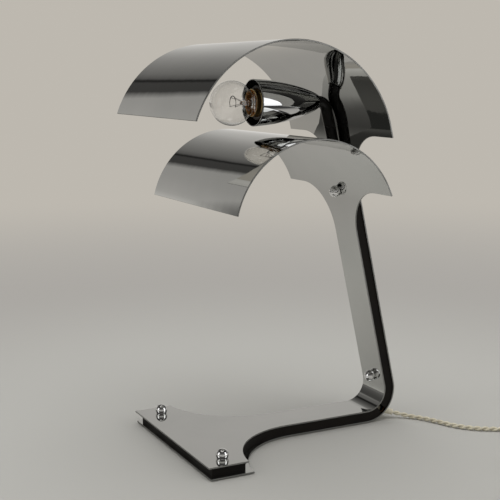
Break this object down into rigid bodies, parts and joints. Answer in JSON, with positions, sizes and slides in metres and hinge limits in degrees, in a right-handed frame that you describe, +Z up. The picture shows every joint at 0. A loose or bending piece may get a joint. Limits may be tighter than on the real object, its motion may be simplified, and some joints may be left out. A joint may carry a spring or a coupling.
{
  "type": "table lamp",
  "caption": "Table lamp of bent polished metal plates bolted over a black spacer, with arched hoods above and below a bullet-shaped chrome bulb cup.",
  "frame": {"origin": "middle of the lamp's footprint box, on the surface that it stands on", "axes": "+Z up, -X towards the open side of the hoods and the wide end of the foot, Y across the lamp, which is symmetrical about Y = 0 apart from its cord"},
  "size_m": [0.3856, 0.393, 0.4101],
  "materials": {
    "mirror_steel": "mirror-polished steel plate",
    "black_core": "black, half gloss",
    "bright_nut": "polished",
    "plain_steel": "zinc plated",
    "pad_rubber": "matt",
    "black_paint": "black, half gloss",
    "chrome_cup": "polished outside, black inside",
    "brass": "plain",
    "holder_plastic": "moulded",
    "ceramic": "glazed",
    "bulb_clear": "clear",
    "filament_metal": "drawn wire",
    "bulb_cap_metal": "rolled",
    "bulb_black": "vitreous",
    "sleeve_plastic": "moulded",
    "live_insulation": "brown",
    "neutral_insulation": "blue",
    "cord_cover": "twisted pair, soft gloss",
    "white_plastic": "moulded",
    "rocker_plastic": "moulded",
    "tie_plastic": "plastic-covered wire",
    "pin_metal": "nickel plated"
  },
  "bodies": {
    "lamp": {"inner_plate": "mirror_steel", "outer_plate": "mirror_steel", "foot_core": "black_core", "stem_core": "black_core", "foot_studs": "plain_steel", "foot_nuts": "bright_nut", "stem_studs": "plain_steel", "stem_nuts": "bright_nut", "foot_pads": "pad_rubber", "arm_tube": "black_paint", "socket_cup": "chrome_cup", "cup_nipple": "brass", "cup_ring_nut": "brass", "holder_cap": "holder_plastic", "holder_sleeve": "holder_plastic", "holder_insert": "ceramic", "screw_shell": "brass", "centre_contact": "brass", "terminal_screws": "brass", "cord_sleeve": "sleeve_plastic", "live_wire": "live_insulation", "neutral_wire": "neutral_insulation", "cord_lead": "cord_cover", "switch_base": "white_plastic", "switch_cover": "white_plastic", "switch_contacts": "brass", "switch_screws": "plain_steel", "cord_middle": "cord_cover", "cord_coil": "cord_cover", "coil_tie": "tie_plastic", "cord_tail": "cord_cover", "plug_body": "white_plastic", "plug_pins": "pin_metal"},
    "bulb": {"bulb_glass": "bulb_clear", "bulb_stem": "bulb_clear", "bulb_filament": "filament_metal", "bulb_cap": "bulb_cap_metal", "bulb_insulator": "bulb_black", "bulb_contact": "bulb_cap_metal"},
    "rocker": {"switch_rocker": "rocker_plastic"}
  },
  "joints": [
    {"name": "bulb_out", "type": "slide", "parent": "lamp", "child": "bulb", "axis": [-1, 0, 0], "range_m": [0, 0.033]},
    {"name": "rocker_tilt", "type": "hinge", "parent": "lamp", "child": "rocker", "pos_m": [0.237, -0.171, 0.0146], "axis": [1, 0, 0], "range_deg": [0, 16]}
  ]
}
